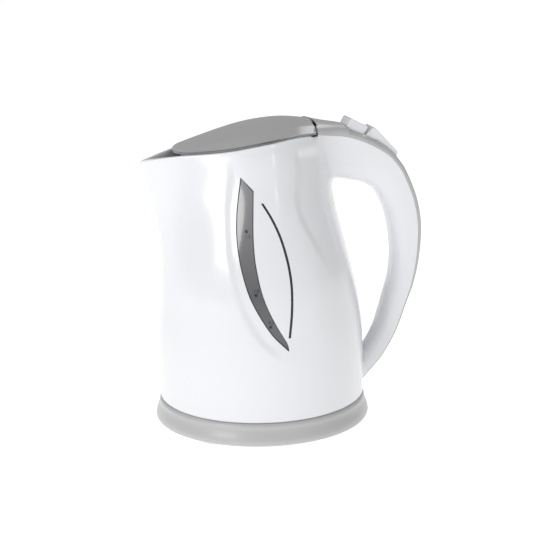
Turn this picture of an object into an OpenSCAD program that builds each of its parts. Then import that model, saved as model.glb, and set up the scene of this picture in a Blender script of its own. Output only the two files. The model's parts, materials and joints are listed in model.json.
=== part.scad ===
// Cordless electric kettle: a plastic jug with an open handle that lifts off a round power base.
// +Z is the axis on which the jug swivels, z = 0 is the table, the spout points to -X and the
// handle to +X. All sizes are in millimetres.

/* [Power base] */
// Radius of the base at its widest, low on the skirt
base_r = 78.5; // [74:0.5:100]
// Height of the deck above the table
base_h = 18; // [15:0.5:26]
// Wall of the base housing
base_wall = 2.2; // [1.8:0.1:3]
// Radius of each rubber foot
foot_r = 7; // [5:0.5:9]
// How far the feet hold the skirt off the table
foot_h = 2; // [1.5:0.1:3]
// Radius of the connector tower
tower_r = 16; // [12:0.5:18]
// Height of the tower above the deck
tower_h = 15; // [12:0.5:18]

/* [Jug] */
// Radius of the jug at its foot
jug_r = 74.5; // [60:0.5:92]
// Height of the jug from its foot to the rim beside the lid
jug_h = 191; // [155:1:235]
// Wall of the jug and the handle
jug_wall = 2.6; // [2:0.1:3.4]
// Half the width of the jug at the rim
rim_half_w = 42.5; // [35:0.5:50]
// How far the spout tip reaches past the foot
spout_reach = 10.5; // [4:0.5:18]
// Height of the heating plate above the jug's foot
plate_h = 27; // [25:0.5:36]

/* [Water window] */
// Width of the window at its middle
window_w = 10; // [7:0.5:14]
// Width of the accent strip beside it
accent_w = 1.6; // [1:0.1:3]

/* [Handle] */
// Half the width of the grip
grip_half_w = 13.5; // [12:0.5:17]
// How far the back of the grip stands behind the jug's foot
grip_reach = 42.5; // [38:0.5:52]
// Depth of the grip, front to back, where the fingers close round it
grip_depth = 18.8; // [16:0.5:24]

/* [Lid and controls] */
// Length of the open spout in front of the lid
spout_open = 24; // [18:0.5:30]
// How far the lid's rear seam stays from the rear rim
seam_back = 17; // [15:0.5:20]
// Thickness of the lid and cover skins
skin = 2; // [1.6:0.1:2.4]
// How far the lid rises above the rim
lid_rise = 8.6; // [7.5:0.1:11]
// Radius of the lid's hinge pin
hinge_pin_r = 1; // [0.8:0.1:1.2]
// Half the width of the lid button and the power switch
key_half_w = 9; // [7:0.5:9.5]
// How far the lid button travels
button_travel = 2.5; // [1.5:0.1:3]

/* [Clearances] */
// Gap between the lid and what it closes on, and round the keys
lid_gap = 0.4; // [0.3:0.05:0.6]
// Gap between the jug's foot and the deck
foot_gap = 0.5; // [0.3:0.1:1]
// Gap between pieces that are set into one another
fit_gap = 0.1; // [0.05:0.05:0.2]
// Radial clearance of a pin in its hole
pin_gap = 0.05; // [0.03:0.01:0.08]

/* [Hidden] */
$fn = 64;

white = [0.95, 0.95, 0.96];
grey = [0.72, 0.72, 0.72];
lid_grey = [0.62, 0.62, 0.63];
smoke = [0.35, 0.35, 0.37, 0.6];
black = [0.1, 0.1, 0.1];
steel = [0.7, 0.7, 0.72];
brass = [0.8, 0.65, 0.3];

cut = 0.01;                             // overlap that keeps a cut from leaving a skin
jug_z = base_h + foot_gap;              // the jug's foot
plate_z = jug_z + plate_h;              // top of the heating plate
ring_n = 64;                            // points round the jug
level_n = 18;                           // rings up the jug
rear_rim_x = jug_r - 20.5;              // where the rim ends, behind the lid
seam_x = rear_rim_x - seam_back + 0.5;  // the lid's hinge axis
tip_x = -(jug_r + spout_reach);         // the spout's tip
nose_x = tip_x + spout_open;            // the front of the lid

// ---------------------------------------------------------------- curves

// Index of the row that holds s, in rows that start with rising values of s
function row_of(rows, s) =
    max([0, for (i = [0:len(rows) - 2]) if (s >= rows[i][0]) i]);

// Slope of column c at row i
function slope(rows, i, c) = let (a = max(i - 1, 0), b = min(i + 1, len(rows) - 1))
    (rows[b][c] - rows[a][c]) / (rows[b][0] - rows[a][0]);

// Smooth curve through column c of the rows
function smooth(rows, s, c = 1) =
    let (i = row_of(rows, s), a = rows[i], b = rows[i + 1], h = b[0] - a[0],
         t = min(max((s - a[0]) / h, 0), 1), t2 = t * t, t3 = t2 * t)
    (2 * t3 - 3 * t2 + 1) * a[c] + (t3 - 2 * t2 + t) * h * slope(rows, i, c)
    + (3 * t2 - 2 * t3) * b[c] + (t3 - t2) * h * slope(rows, i + 1, c);

// Even ramp from 0 to 1 between two values
function ramp(from, to, s) = let (t = min(max((s - from) / (to - from), 0), 1)) t * t * (3 - 2 * t);

// ---------------------------------------------------------------- the jug's form

// Reach of the jug in front, behind and to the side, against level 0 at the foot and 1 at the rim
front_line = [[0, jug_r], [0.25, jug_r + 0.3], [0.4, jug_r - 1.8], [0.57, jug_r - 3],
    [0.74, jug_r - 1], [0.85, jug_r + 3], [1, jug_r + spout_reach]];
rear_line = [[0, jug_r], [0.25, jug_r - 0.3], [0.4, jug_r - 3.7], [0.57, jug_r - 11],
    [0.74, jug_r - 18.5], [0.85, jug_r - 20.5], [1, rear_rim_x]];
side_line = [[0, jug_r], [0.25, jug_r - 0.5], [0.4, jug_r - 2.9], [0.57, jug_r - 7.5],
    [0.74, jug_r - 15], [0.9, rim_half_w + 7], [1, rim_half_w]];

// Height of the rim as a share of jug_h, against x as a share of jug_r
rim_line = [[-1.14, 0.929], [-0.81, 0.952], [-0.4, 0.972], [-0.07, 0.996], [0.27, 1.012],
    [0.51, 1.005], [0.72, 0.99]];

function rim_z(x) = jug_z + jug_h * smooth(rim_line, x / jug_r);
function level_z(level, x) = jug_z + level * (rim_z(x) - jug_z);

// Half width at x of a section whose point grows from round at the foot to a beak at the rim
function half_width(x, level, inset = 0) =
    let (beak = ramp(0.45, 1, level), side = smooth(side_line, level) - inset)
    x < 0
    ? let (reach = smooth(front_line, level) - inset * (1 + 0.7 * beak), s = min(-x / reach, 1))
        side * pow(1 - pow(s, 2 - 0.5 * beak), 0.5 + 0.5 * beak)
    : let (reach = smooth(rear_line, level) - inset, s = min(x / reach, 1))
        side * pow(1 - pow(s, 2 - 0.4 * beak), 0.5 + 0.1 * beak);

// One ring of points round the jug, anticlockwise seen from above
function jug_ring(level, inset = 0) =
    let (beak = ramp(0.45, 1, level), side = smooth(side_line, level) - inset)
    [for (i = [0:ring_n - 1])
        let (angle = 360 * i / ring_n, c = abs(cos(angle)), s = abs(sin(angle)), front = cos(angle) < 0,
             reach = front ? -smooth(front_line, level) + inset * (1 + 0.7 * beak)
                           : smooth(rear_line, level) - inset,
             x = reach * pow(c, 2 / (2 - (front ? 0.5 : 0.4) * beak)),
             y = side * pow(s, 1 + (front ? 1 : 0.2) * beak) * sign(sin(angle)))
        [x, y, level_z(level, x)]];

// Skin over rings that all have the same number of points, closed by flat ends or into a loop
module loft(rings, loop = false) {
    n = len(rings[0]);
    m = len(rings);
    sides = [for (i = [0:m - (loop ? 1 : 2)]) for (j = [0:n - 1])
        let (a = i * n + j, b = i * n + (j + 1) % n, c = (i + 1) % m * n + (j + 1) % n,
             d = (i + 1) % m * n + j)
        each [[a, d, c], [a, c, b]]];
    ends = loop ? [] : [[for (j = [0:n - 1]) j], [for (j = [n - 1:-1:0]) (m - 1) * n + j]];
    polyhedron([for (ring = rings) each ring], concat(sides, ends), convexity = 8);
}

// Cuts and joins free-form shells as one mesh
module one_shell() {
    resize([0, 0, 0]) children();
}

// Everything inside the jug's outer face, carried on above the rim
module jug_solid(above) {
    rings = [for (i = [0:level_n]) jug_ring(i / level_n)];
    top = [for (p = rings[level_n]) [p[0], p[1], p[2] + above]];
    loft(concat(rings, [top]));
}

// The jug's wall between two depths under its outer face
module jug_skin(from, to) {
    levels = [for (i = [0:level_n]) i / level_n];
    loft(concat([for (level = levels) jug_ring(level, from)],
                [for (i = [level_n:-1:0]) jug_ring(levels[i], to)]), loop = true);
}

// Flat outline in x and z, pushed through one side of the jug
module side_cutter(outline, side) {
    translate([0, side > 0 ? 0 : -120, 0])
        rotate([90, 0, 0]) mirror([0, 0, 1]) linear_extrude(120) polygon(outline);
}

// ---------------------------------------------------------------- window and accent strip

// Heights here are above the foot on a jug of the full height below, and follow jug_h from it
full_h = 191;
function scaled_z(h) = jug_z + h * jug_h / full_h;

// Front edge of the window: height, then x
window_edge = [[51, 1.4], [62, -9], [76, -17.5], [91, -24], [111, -28], [129, -28.7], [146, -27],
    [169, -22.4]];
// Width of the window: height, then share of window_w
window_share = [[51, 0.04], [56, 0.45], [62, 0.67], [78, 0.82], [94, 0.94], [111, 1.01],
    [129, 1.07], [146, 1.05], [169, 0.85]];
window_tip_h = 51;
window_top_h = 169;
window_slope = 9;                       // how much lower the rear top corner is
// Middle of the accent strip: height, then x
accent_line = [[60, 2.6], [76, 4.8], [91, 5.7], [102, 5.3], [114, 3.6], [128, 0.3], [141, -4.6],
    [152, -10.3]];

function window_outline(grow) =
    let (step = (window_top_h - window_tip_h) / 16,
         heights = [for (i = [0:16]) window_tip_h + i * step])
    concat([for (h = heights) [smooth(window_edge, h) - grow, scaled_z(h)]],
           [for (i = [16:-1:0]) let (h = heights[i] - (i == 16 ? window_slope : 0),
                                     w = window_w * smooth(window_share, h))
               if (i != 15) [smooth(window_edge, h) + w + grow, scaled_z(h)]]);

function accent_outline(grow) =
    let (low = accent_line[0][0], high = accent_line[len(accent_line) - 1][0],
         heights = [for (i = [0:14]) low + i * (high - low) / 14], half = accent_w / 2 + grow)
    concat([for (h = heights) [smooth(accent_line, h) - half, scaled_z(h)]],
           [for (i = [14:-1:0]) [smooth(accent_line, heights[i]) + half, scaled_z(heights[i])]]);
accent_depth = 1.2;

module water_window(side) {
    color(smoke) one_shell() intersection() {
        jug_skin(0, jug_wall);
        side_cutter(window_outline(0), side);
    }
}

module accent_strip(side) {
    color(black) one_shell() intersection() {
        jug_skin(0, accent_depth);
        side_cutter(accent_outline(0), side);
    }
}

module water_window_left() { water_window(-1); }
module water_window_right() { water_window(1); }
module accent_strip_left() { accent_strip(-1); }
module accent_strip_right() { accent_strip(1); }

// ---------------------------------------------------------------- the handle's path

// Rows down the handle: number, x behind the jug's foot, height above the foot as a share of jug_h,
// tilt of the outward direction from upright, half width, rise of the grey strip, depth of the grip
grip_w = grip_half_w;
reach = grip_reach;
path = [
    [0, seam_x - jug_r + 0.3, 1.006, 0, 26.5, 6, 12],
    [1, -30.5, 0.999, 2, 21, 6, 20],
    [2, -22.5, 0.992, 5, 17, 6, 34],
    [3, -12.5, 0.983, 12, grip_w + 1.5, 5.8, 33],
    [4, 1.5, 0.958, 24, grip_w + 1, 5.5, 31],
    [5, reach - 25, 0.911, 36, grip_w + 0.5, 5, 27],
    [6, reach - 16, 0.864, 50, grip_w, 4.6, grip_depth + 6],
    [7, reach - 10, 0.812, 61, grip_w, 4.6, grip_depth + 3.4],
    [8, reach - 3, 0.717, 74, grip_w, 4.6, grip_depth + 1.6],
    [9, reach, 0.618, 87, grip_w, 4.6, grip_depth],
    [10, reach - 1, 0.503, 96, grip_w, 4.2, grip_depth - 3],
    [11, reach - 4.6, 0.4, 104, grip_w, 3.5, grip_depth - 4.8],
    [12, reach - 10, 0.314, 109, grip_w - 0.5, 2.6, grip_depth - 5.6],
    [13, reach - 14.8, 0.241, 114, grip_w - 1, 2.3, grip_depth - 6],
    [14, reach - 20, 0.178, 119, grip_w - 1.5, 2, grip_depth - 6.5],
    [15, reach - 29, 0.1, 127, grip_w - 2.5, 1.6, grip_depth - 6.5],
    [16, reach - 42.5, 0.02, 136, grip_w - 4, 1.2, grip_depth - 8]
];
path_end = len(path) - 1;

function path_at(s, c) = smooth(path, s, c);
function tilt_at(s) = path_at(s, 3);
// Point at station s, y to the side and q outward from the border of white and grey
function on_path(s, y, q) = let (tilt = tilt_at(s))
    [jug_r + path_at(s, 1) + q * sin(tilt), y, jug_z + jug_h * path_at(s, 2) + q * cos(tilt)];

// Ring at station s: half an oval that swells from the border to q, with a full, square shoulder
arc_n = 14;
function half_ring(s, half_w, q, sill = 0) =
    let (turns = [for (i = [1:arc_n - 1]) 180 * i / arc_n], way = q > 0 ? 1 : -1)
    concat([on_path(s, way * half_w, sill)],
           [for (a = turns) on_path(s, way * half_w * sign(cos(a)) * pow(abs(cos(a)), 0.7),
                                    q * pow(sin(a), 0.7))],
           [on_path(s, -way * half_w, sill)]);

// Stations from one place on the path to another. Both halves of the handle share those between
// the ends, so that their faces along the border are the same.
// A hollow, which has a sill, takes those halfway between, so that no edge of it meets one of
// the outer face's edges.
path_step = 0.4;
function stations(from, to, sill = 0) = concat([from], [for (i = [0:path_end / path_step])
    let (s = (i + (sill == 0 ? 0 : 0.5)) * path_step)
    if (s > from + 0.05 && s < to - 0.05) s], [to]);

module grip_loft(from, to, inset = 0, sill = 0) {
    loft([for (s = stations(from, to, sill))
        half_ring(s, path_at(s, 4) - inset, -(path_at(s, 6) - inset), sill)]);
}

// The grey cover: raised behind the lid, then a step down to the strip that runs along the grip
step_s = 3.15;
step_run = 0.04;
module cover_loft(from, to, inset = 0, sill = 0) {
    edge = step_s - 0.1 * inset;
    loft([for (s = concat(stations(from, edge, sill), stations(edge + step_run, to, sill)))
        let (rise = s > edge ? path_at(s, 5) : lid_rise - 0.3 * s)
        half_ring(s, path_at(s, 4) - inset, rise - inset, sill)]);
}

// ---------------------------------------------------------------- keys on the handle

// Side view of the lid button, x and z from the jug's foot circle and the rim's height
key_z = jug_z + jug_h;
button_x = jug_r - 10.5;
button_side = [[0, -7], [0, 2.5], [3, 8.2], [4.4, 8.7], [15.4, 2.9], [16.2, 1.6], [13.2, -2.5],
    [11.5, -7]];
// Side view of the power switch, along the handle's path and out from it
switch_s = 5;
switch_side = [[-15.5, -2.5], [-18.7, 2.3], [-16.8, 10.4], [-15.4, 11.1], [9.2, 6.1], [9.8, 5.2],
    [9.8, -2.5]];
switch_pivot = [-4, 1];

module button_place() {
    translate([button_x, 0, key_z]) children();
}

// Frame that lies on the handle's path: x runs down the handle and z points outward
module switch_place() {
    translate(on_path(switch_s, 0, 0)) rotate([0, tilt_at(switch_s), 0]) children();
}

module side_extrude(outline, half_w) {
    rotate([90, 0, 0]) translate([0, 0, -half_w]) linear_extrude(2 * half_w) polygon(outline);
}

module rounded_box(low, high, r) {
    translate([low[0], low[1], low[2]]) linear_extrude(high[2] - low[2])
        union() {
            size = [high[0] - low[0], high[1] - low[1]];
            translate([r, 0]) square([size[0] - 2 * r, size[1]]);
            translate([0, r]) square([size[0], size[1] - 2 * r]);
            for (x = [r, size[0] - r], y = [r, size[1] - r]) translate([x, y]) circle(r);
        }
}

// ---------------------------------------------------------------- power base

skirt_top_r = jug_r + 1;
deck_wall = base_wall;
base_round = 3;

module base_housing() {
    color(grey) difference() {
        rotate_extrude() polygon(concat(
            [[tower_r + 0.3, base_h - deck_wall], [tower_r + 0.3, base_h - 1]],
            [[tower_r + 4, base_h - 1], [tower_r + 5, base_h]],
            [for (a = [90:-15:0]) [skirt_top_r - base_round + base_round * cos(a),
                                   base_h - base_round + base_round * sin(a)]],
            [[skirt_top_r + (base_r - skirt_top_r) * 0.55, foot_h + 5.5], [base_r, foot_h + 2.2],
             [base_r - 0.6, foot_h + 0.6], [base_r - 2, foot_h], [base_r - 2 - base_wall, foot_h],
             [base_r - 2 - base_wall, foot_h + 2.5],
             [skirt_top_r - base_wall, base_h - base_round],
             [skirt_top_r - base_round, base_h - deck_wall]]));
        cord_hole(grommet_r + fit_gap);
    }
}

grommet_r = 4;
collar_r = grommet_r + 1.2;
cord_z = foot_h + base_wall + collar_r + 0.3;
collar_end = min(skirt_top_r, base_r - 2) - base_wall - 0.6;
module cord_hole(r) {
    translate([0, base_r - 12, cord_z]) rotate([-90, 0, 0]) cylinder(r = r, h = 20);
}

cover_r = base_r - 2 - base_wall - 0.3;
base_screw_turns = [90, 210, 330];
base_screw_ring = base_r - 26;
screw_r = 1.5;
module base_bottom_cover() {
    color(grey) difference() {
        union() {
            translate([0, 0, foot_h]) cylinder(r = cover_r, h = base_wall);
            for (a = base_screw_turns) rotate(a)
                translate([base_screw_ring, 0, foot_h]) cylinder(r = 4, h = base_h - deck_wall - foot_h);
        }
        for (a = base_screw_turns) rotate(a) translate([base_screw_ring, 0, 0]) {
            cylinder(r = screw_r + pin_gap, h = base_h - deck_wall - 3);
            cylinder(r = 2 * screw_r + 0.2, h = foot_h + 1.2);
        }
    }
}

module base_screws() {
    color(steel) for (a = base_screw_turns) rotate(a) translate([base_screw_ring, 0, foot_h]) {
        cylinder(r = screw_r, h = 9);
        cylinder(r = 2 * screw_r, h = 1);
    }
}

foot_ring = base_r - 12.5;
module base_feet() {
    color(black) for (a = [45:90:315]) rotate(a) translate([foot_ring, 0, 0])
        rotate_extrude() polygon([[0, 0], [foot_r - 0.6, 0], [foot_r, 0.6], [foot_r, foot_h],
            [0, foot_h]]);
}

module cord_grommet() {
    color(black) difference() {
        union() {
            cord_hole(grommet_r);
            translate([0, base_r - 12, cord_z]) rotate([-90, 0, 0])
                cylinder(r = collar_r, h = collar_end - (base_r - 12));
        }
        translate([0, base_r - 13, cord_z]) rotate([-90, 0, 0]) cylinder(r = 2.6, h = 30);
        translate([-base_r, base_r - 0.2, 0]) cube(2 * base_r);
    }
}

module terminal_block() {
    color(black) translate([-12, tower_r + 10, foot_h + base_wall]) difference() {
        cube([24, 12, 7]);
        for (x = [4, 12, 20]) translate([x, 6, 2]) cylinder(r = 2, h = 6);
    }
}

// ---------------------------------------------------------------- connector

tower_z = base_h + tower_h;
flange_z = base_h - deck_wall - 0.3;
slot_low = 9.3;
slot_high = 11.3;
module connector_tower() {
    color(black) rotate_extrude() polygon([
        [4, flange_z - 3], [tower_r + 3, flange_z - 3], [tower_r + 3, flange_z], [tower_r, flange_z],
        [tower_r, tower_z - 1.5], [tower_r - 1.5, tower_z], [slot_high, tower_z],
        [slot_high, base_h + 2], [slot_low, base_h + 2], [slot_low, tower_z], [4.6, tower_z],
        [4, tower_z - 0.6]]);
}

module tower_contacts() {
    color(brass) {
        translate([0, 0, base_h + 2]) rotate_extrude()
            translate([slot_low + fit_gap, 0]) square([slot_high - slot_low - 2 * fit_gap, 1]);
        translate([0, 0, flange_z - 3]) rotate_extrude() translate([3, 0]) square([1 - fit_gap, 6]);
    }
}

socket_r = tower_r + 0.5;
control_z = jug_z + 1.8;
socket_top = tower_z + 1.5;
module control_unit() {
    color(black) difference() {
        union() {
            translate([0, 0, control_z]) cylinder(r = socket_r + 5, h = plate_z - 5 - control_z);
            translate([-socket_r - 3, -13, control_z + 4])
                cube([2 * socket_r + 26, 26, plate_z - 9 - control_z]);
        }
        translate([0, 0, control_z - cut]) cylinder(r = socket_r, h = socket_top - control_z + cut);
    }
}

module contact_blades() {
    color(brass) {
        translate([0, 0, base_h + 5]) cylinder(r = 2.4, h = socket_top - base_h - 5);
        translate([0, 0, base_h + 5]) difference() {
            cylinder(r = slot_high - 0.5, h = socket_top - base_h - 5);
            translate([0, 0, -cut]) cylinder(r = slot_low + 0.5, h = socket_top - base_h);
        }
    }
}

module bimetal_discs() {
    color(brass) for (y = [-7, 7]) translate([socket_r + 12, y, plate_z - 5 + cut])
        cylinder(r = 5.5, h = 0.6);
}

// ---------------------------------------------------------------- jug

rear_slot_z = jug_z + 0.93 * jug_h;
wire_hole_h = 20;
module jug_body() {
    color(white) one_shell() difference() {
        jug_skin(0, jug_wall);
        for (side = [-1, 1]) {
            side_cutter(window_outline(fit_gap), side);
            intersection() {
                jug_skin(-1, accent_depth + fit_gap);
                side_cutter(accent_outline(fit_gap), side);
            }
        }
        translate([rear_rim_x - 12, -6, rear_slot_z]) cube([20, 12, 40]);
        translate([jug_r - 6, 0, jug_z + wire_hole_h]) rotate([0, 90, 0])
            cylinder(r = 3.5, h = 10, $fn = 24);
    }
}

function inner_r() = jug_r - jug_wall;

module heating_plate() {
    color(steel) rotate_extrude() polygon([[0, plate_z - 1], [inner_r() - 6, plate_z - 1],
        [inner_r() - 6, plate_z - 6], [inner_r() - 5, plate_z - 6], [inner_r() - 5, plate_z - 0.6],
        [inner_r() - 5.6, plate_z], [0, plate_z]]);
}

module plate_seal() {
    color(grey) rotate_extrude() polygon([[inner_r() - 5 + fit_gap, plate_z - 6],
        [inner_r() - 0.4, plate_z - 6], [inner_r() - 0.4, plate_z - 1],
        [inner_r() - 2, plate_z + 0.6], [inner_r() - 5 + fit_gap, plate_z + 0.6]]);
}

element_r = 42;
module heating_element() {
    color(steel) translate([0, 0, plate_z - 1 - 3.3]) {
        rotate([0, 0, 24]) rotate_extrude(angle = 312) translate([element_r, 0]) circle(3.2);
        for (side = [-1, 1]) rotate(side * 24) translate([element_r, 0, -12])
            cylinder(r = 2, h = 12);
    }
}

foot_cover_r = jug_r - jug_wall - 0.4;
bottom_screw_turns = [60, 180, 300];
bottom_screw_ring = jug_r - 14;
foot_cover_t = 2;
module jug_bottom_cover() {
    color(white) difference() {
        union() {
            translate([0, 0, jug_z]) cylinder(r = foot_cover_r, h = foot_cover_t);
            for (a = bottom_screw_turns) rotate(a) translate([bottom_screw_ring, 0, jug_z])
                cylinder(r = 4, h = 10);
        }
        translate([0, 0, jug_z - 1]) cylinder(r = socket_r + 5.3, h = 5);
        for (a = bottom_screw_turns) rotate(a) translate([bottom_screw_ring, 0, jug_z - 1]) {
            cylinder(r = screw_r + pin_gap, h = 10);
            cylinder(r = 2 * screw_r + 0.2, h = 2);
        }
    }
}

module bottom_screws() {
    color(steel) for (a = bottom_screw_turns) rotate(a) translate([bottom_screw_ring, 0, jug_z]) {
        cylinder(r = screw_r, h = 8);
        cylinder(r = 2 * screw_r, h = 1);
    }
}

// ---------------------------------------------------------------- spout filter

filter_x = nose_x + 11;
filter_top = jug_z + 0.905 * jug_h;
filter_h = 46;
filter_half_w = 13;
bar = 1.8;
module filter_frame() {
    color(white) translate([filter_x, 0, filter_top]) difference() {
        translate([-1.5, -filter_half_w, -filter_h]) cube([3, 2 * filter_half_w, filter_h]);
        for (y = [-filter_half_w + bar, bar / 2])
            translate([-2, y, -filter_h + bar])
                cube([4, filter_half_w - 1.5 * bar, filter_h - 2 * bar]);
    }
}

mesh_pitch = 4.4;
mesh_wire = 0.5;
module filter_mesh() {
    width = filter_half_w - 1.5 * bar;
    color(grey) translate([filter_x - mesh_wire / 2, 0, filter_top])
        for (y = [-filter_half_w + bar, bar / 2]) translate([0, y, 0]) {
            for (i = [1:4]) translate([0, i * width / 5 - mesh_wire / 2, -filter_h + bar])
                cube([mesh_wire, mesh_wire, filter_h - 2 * bar]);
            for (z = [-filter_h + bar + mesh_pitch / 2:mesh_pitch:-bar - 1]) translate([0, 0, z])
                cube([mesh_wire, width, mesh_wire]);
        }
}

// ---------------------------------------------------------------- handle

module handle_grip() {
    color(white) one_shell() difference() {
        grip_loft(1.4, path_end, 0);
        grip_loft(1.2, path_end - 1.6, jug_wall, 1);
        jug_solid(20);
        translate([jug_r - 6, 0, jug_z + wire_hole_h]) rotate([0, 62, 0])
            cylinder(r = 3.5, h = 40, $fn = 24);
    }
}

barrel_r = 2.4;                         // the lid's hinge barrel
barrel_half = 4;
ear_t = 3;                              // ears that hold a pin
seam_cut_r = 3.4;
notch_half = barrel_half + ear_t + 0.9;
hinge_drop = 2.8;                       // how far the hinge lies under the lid's crown
hinge_z = jug_z + jug_h * 1.006 + lid_rise - hinge_drop;
module handle_cover() {
    color(grey) one_shell() difference() {
        cover_loft(0, path_end, 0, fit_gap);
        jug_skin(-fit_gap, jug_wall);
        cover_loft(0.3, 6, skin, -1);
        translate([seam_x, 0, hinge_z]) rotate([90, 0, 0])
            cylinder(r = seam_cut_r, h = 2 * notch_half, center = true, $fn = 32);
        for (side = [-1, 1]) translate([seam_x, side * (notch_half - cut), hinge_z])
            rotate([-90 * side, 0, 0])
                cylinder(r1 = seam_cut_r - fit_gap, r2 = 1.3, h = 0.82 * path[0][4] - notch_half, $fn = 32);
        translate([seam_x - 1, -notch_half, hinge_z - 14]) cube([6, 2 * notch_half, 14]);
        button_place() rounded_box([-lid_gap, -key_half_w - lid_gap, -14],
            [17 + lid_gap, key_half_w + lid_gap, 12], 2);
        switch_place() rounded_box([-19.6, -key_half_w - lid_gap, -8],
            [9.8 + 2 * lid_gap + 0.4, key_half_w + lid_gap, 16], 2);
    }
}

// ---------------------------------------------------------------- lid

// Side of the lid's dome across its half width: full at the middle, a crease, then the band
function dome(s) = s < 0.74 ? 1 - 0.43 * pow(s / 0.74, 2)
                            : 0.57 - 0.57 * (s - 0.74) / 0.26;
function lid_top_rise(x) = lid_rise * (0.26 + 0.74 * ramp(nose_x - 12, nose_x + 40, x));
lid_edge = 1.6;
function lid_half_w(x) = let (corner = 9, t = min(max((nose_x + corner - x) / corner, 0), 1))
    max(half_width(x, 1) * sqrt(max(1 - t * t, 0)), 0.3);

lid_n = 26;
cross_n = 16;
function lid_ring(x) =
    let (w = lid_half_w(x), across = [for (i = [0:cross_n]) -1 + 2 * i / cross_n],
         low = rim_z(x) + lid_gap, rise = lid_top_rise(x) - lid_edge - lid_gap)
    concat([for (s = across) [x, s * w, low + max(rise * dome(abs(s)) + lid_edge - skin, 0)]],
           [for (i = [cross_n:-1:0]) let (s = across[i])
               [x, s * w, low + lid_edge + rise * dome(abs(s))]]);

module lid_cover() {
    end_x = seam_x - lid_gap;
    steps = [for (i = [0:lid_n]) let (t = i / lid_n)
        nose_x + 0.05 + (end_x - nose_x - 0.05) * (t < 0.3 ? t * t / 0.6 : t - 0.15) / 0.85];
    color(lid_grey) one_shell() difference() {
        loft([for (x = steps) lid_ring(x)]);
        translate([seam_x, 0, hinge_z]) rotate([90, 0, 0])
            cylinder(r = 3, h = 15.2, center = true, $fn = 32);
    }
}

liner_depth = 6;
liner_gap = 2.4;
liner_top = 0.6;
module lid_liner() {
    from = nose_x + 7;
    to = seam_x - 6;
    rings = [for (i = [0:16]) let (x = from + (to - from) * i / 16,
                                   t = min(max((from + 8 - x) / 8, 0), 1),
                                   w = (half_width(x, 1, jug_wall) - liner_gap)
                                       * sqrt(max(1 - t * t * 0.8, 0)),
                                   z = rim_z(x))
        [[x, -w, z - liner_depth], [x, w, z - liner_depth], [x, w, z + liner_top],
         [x, -w, z + liner_top]]];
    hollow = [for (r = rings) [for (i = [0:3]) [r[i][0] * 0.98 - 0.3, r[i][1] * 0.93,
                                                r[i][2] + (i < 2 ? 1.8 : 2)]]];
    color(white) one_shell() difference() {
        loft(rings);
        loft([for (i = [1:15]) hollow[i]]);
    }
}

module lid_hinge_arm() {
    color(white) difference() {
        union() {
            translate([seam_x, barrel_half, hinge_z]) rotate([90, 0, 0])
                cylinder(r = barrel_r, h = 2 * barrel_half);
            translate([seam_x - 9, -barrel_half, hinge_z - barrel_r])
                cube([9, 2 * barrel_half, barrel_r]);
            translate([seam_x - 9, -barrel_half, rim_z(seam_x - 8) + liner_top])
                cube([2.4, 2 * barrel_half, hinge_z - rim_z(seam_x - 8) - liner_top]);
            translate([seam_x - 3.6, -lever_half, lever_z]) {
                cube([1.8, 2 * lever_half, hinge_z - lever_z]);
                cube([3, 2 * lever_half, 1.2]);
            }
        }
        translate([seam_x, 10, hinge_z]) rotate([90, 0, 0])
            cylinder(r = hinge_pin_r + pin_gap, h = 20);
    }
}

module hinge_pin() {
    color(steel) translate([seam_x, barrel_half + 0.3 + ear_t, hinge_z]) rotate([90, 0, 0])
        cylinder(r = hinge_pin_r, h = 2 * (barrel_half + 0.3 + ear_t));
}

// ---------------------------------------------------------------- bracket behind the lid

bracket_z = jug_z + 0.925 * jug_h;
bracket_t = 2;
bracket_front = seam_x - 12;
lever_z = bracket_z + 9;
lever_x = seam_x + 9;
lever_half = 2.5;
lever_pin_r = 1.25;

// Ears on both sides of y = 0, each a round eye on a straight leg
module ears(x, z, gap, r, hole_r) {
    for (side = [-1, 1]) translate([x, side * (gap + ear_t / 2), 0]) difference() {
        union() {
            translate([0, 0, z]) rotate([90, 0, 0]) cylinder(r = r, h = ear_t, center = true);
            translate([-r, -ear_t / 2, bracket_z]) cube([2 * r, ear_t, z - bracket_z]);
        }
        translate([0, 0, z]) rotate([90, 0, 0]) cylinder(r = hole_r, h = 2 * ear_t, center = true);
    }
}

module hinge_bracket() {
    level = 0.925;
    far = smooth(rear_line, level) - jug_wall - 0.6;
    xs = [for (i = [0:10]) bracket_front + (far - bracket_front) * sin(9 * i)];
    ws = [for (x = xs) half_width(x, level, jug_wall + 0.8)];
    color(white) union() {
        translate([0, 0, bracket_z]) linear_extrude(bracket_t)
            polygon(concat([for (i = [0:10]) [xs[i], -ws[i]]], [for (i = [10:-1:0]) [xs[i], ws[i]]]));
        ears(seam_x, hinge_z, barrel_half + 0.3, 2, hinge_pin_r + pin_gap);
        ears(lever_x, lever_z, lever_half + 0.3, 2.6, lever_pin_r + pin_gap);
    }
}

module latch_pin() {
    color(steel) translate([lever_x, lever_half + 0.3 + ear_t, lever_z]) rotate([90, 0, 0])
        cylinder(r = lever_pin_r, h = 2 * (lever_half + 0.3 + ear_t));
}

// The lever rocks on its pin: the button pushes its rear end down and its front hook lifts
lever_rear = button_x + 8 - lever_x;
lever_front = 9;
module lid_latch() {
    color(black) translate([lever_x, 0, lever_z]) difference() {
        union() {
            rotate([90, 0, 0]) cylinder(r = 2.6, h = 2 * lever_half, center = true);
            translate([-lever_front, -lever_half, 0]) cube([lever_front + lever_rear, 2 * lever_half, 2.4]);
            translate([-lever_front, -lever_half, -3.5]) cube([1.8, 2 * lever_half, 4]);
        }
        rotate([90, 0, 0]) cylinder(r = lever_pin_r + pin_gap, h = 20, center = true);
    }
}

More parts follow.
